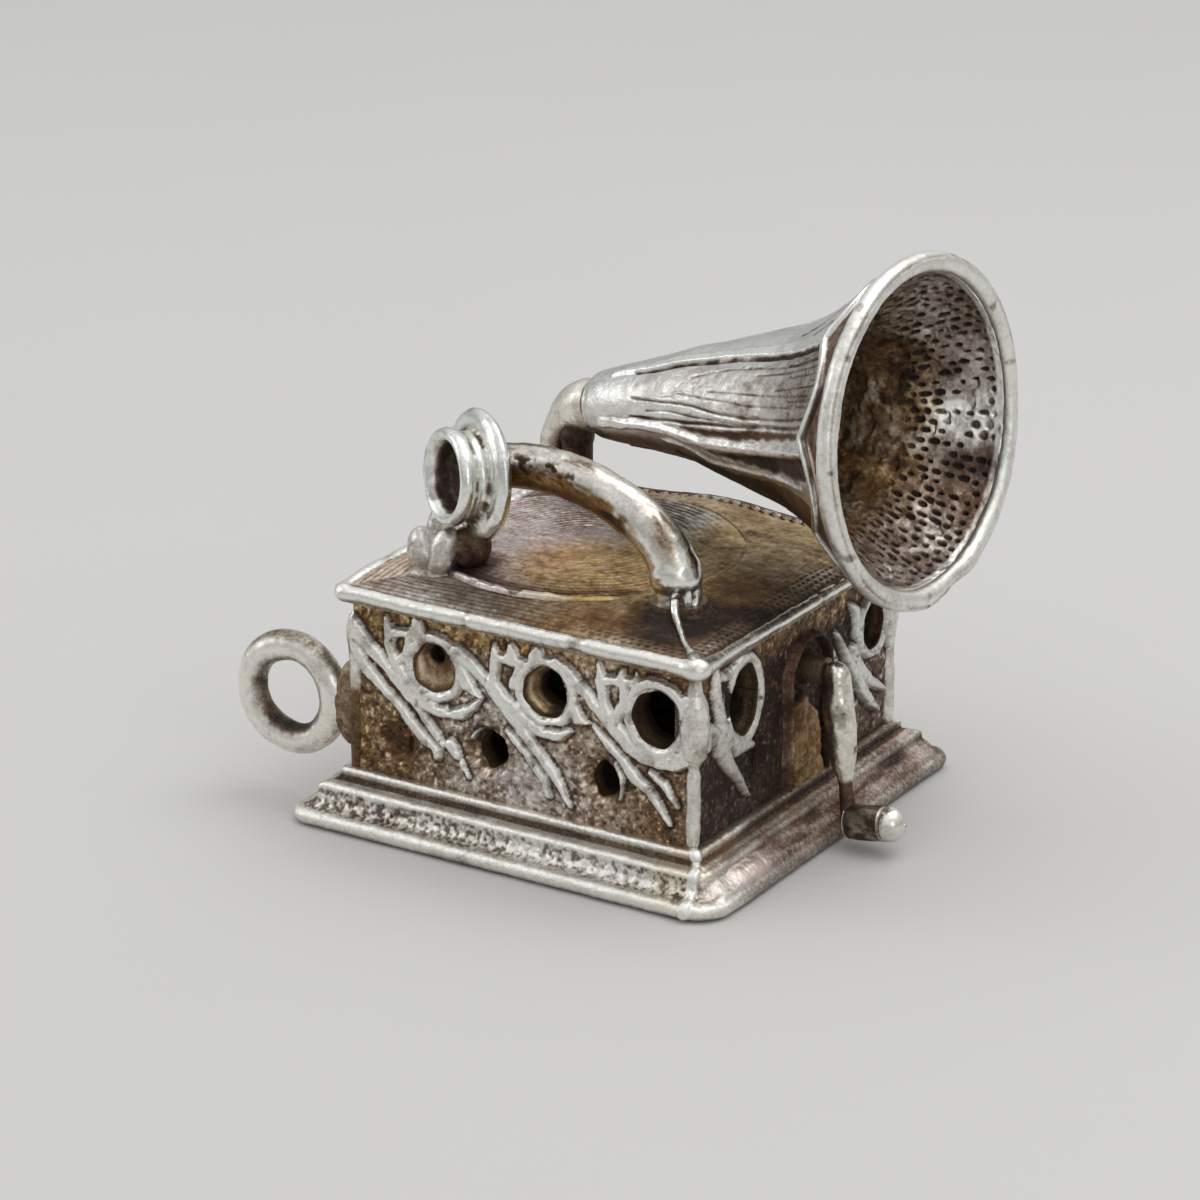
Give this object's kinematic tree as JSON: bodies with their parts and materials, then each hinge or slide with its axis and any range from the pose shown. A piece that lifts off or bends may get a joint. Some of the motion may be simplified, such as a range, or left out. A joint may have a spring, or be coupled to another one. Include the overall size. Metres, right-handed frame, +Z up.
{
  "type": "gramophone charm",
  "caption": "Small silver gramophone charm: pierced square case on a moulded plinth, record, bent tone arm, flared horn, turning crank and a hanging ring.",
  "frame": {"origin": "centre of the plinth's underside, on the surface that the charm stands on", "axes": "+Z up; -Y is the front face with three upper holes; +X is the crank side, which the horn's mouth faces too"},
  "size_m": [0.0198, 0.0155, 0.0172],
  "materials": {
    "bright_silver": "polished silver, softly worn",
    "aged_silver": "silver with brown tarnish in its hollows",
    "dark_silver": "heavily oxidised silver, dull"
  },
  "bodies": {
    "case": {"plinth": "aged_silver", "floor_plate": "dark_silver", "front_panel": "aged_silver", "right_panel": "aged_silver", "back_panel": "aged_silver", "left_panel": "aged_silver", "corner_beads": "bright_silver", "top_plate": "aged_silver", "plate_rim": "bright_silver", "rope_border": "dark_silver", "record": "aged_silver", "arm_foot": "aged_silver", "tone_arm": "bright_silver", "soundbox": "bright_silver", "needle_block": "bright_silver", "solder_bead": "dark_silver", "horn_foot": "aged_silver", "horn_post": "aged_silver", "horn_elbow": "bright_silver", "horn_ring": "bright_silver", "horn_cone": "aged_silver", "horn_collar": "bright_silver", "horn_bell": "aged_silver", "horn_rim": "bright_silver", "crank_boss": "dark_silver", "bail_lug": "aged_silver", "bail_ring": "bright_silver"},
    "crank": {"crank_shaft": "bright_silver", "crank_collar": "aged_silver", "crank_arm": "bright_silver", "crank_handle": "bright_silver"}
  },
  "joints": [
    {"name": "crank_turn", "type": "hinge", "parent": "case", "child": "crank", "pos_m": [0.0058, 0.0003, 0.0052], "axis": [1, 0, 0], "range_deg": [-130, 90]}
  ]
}
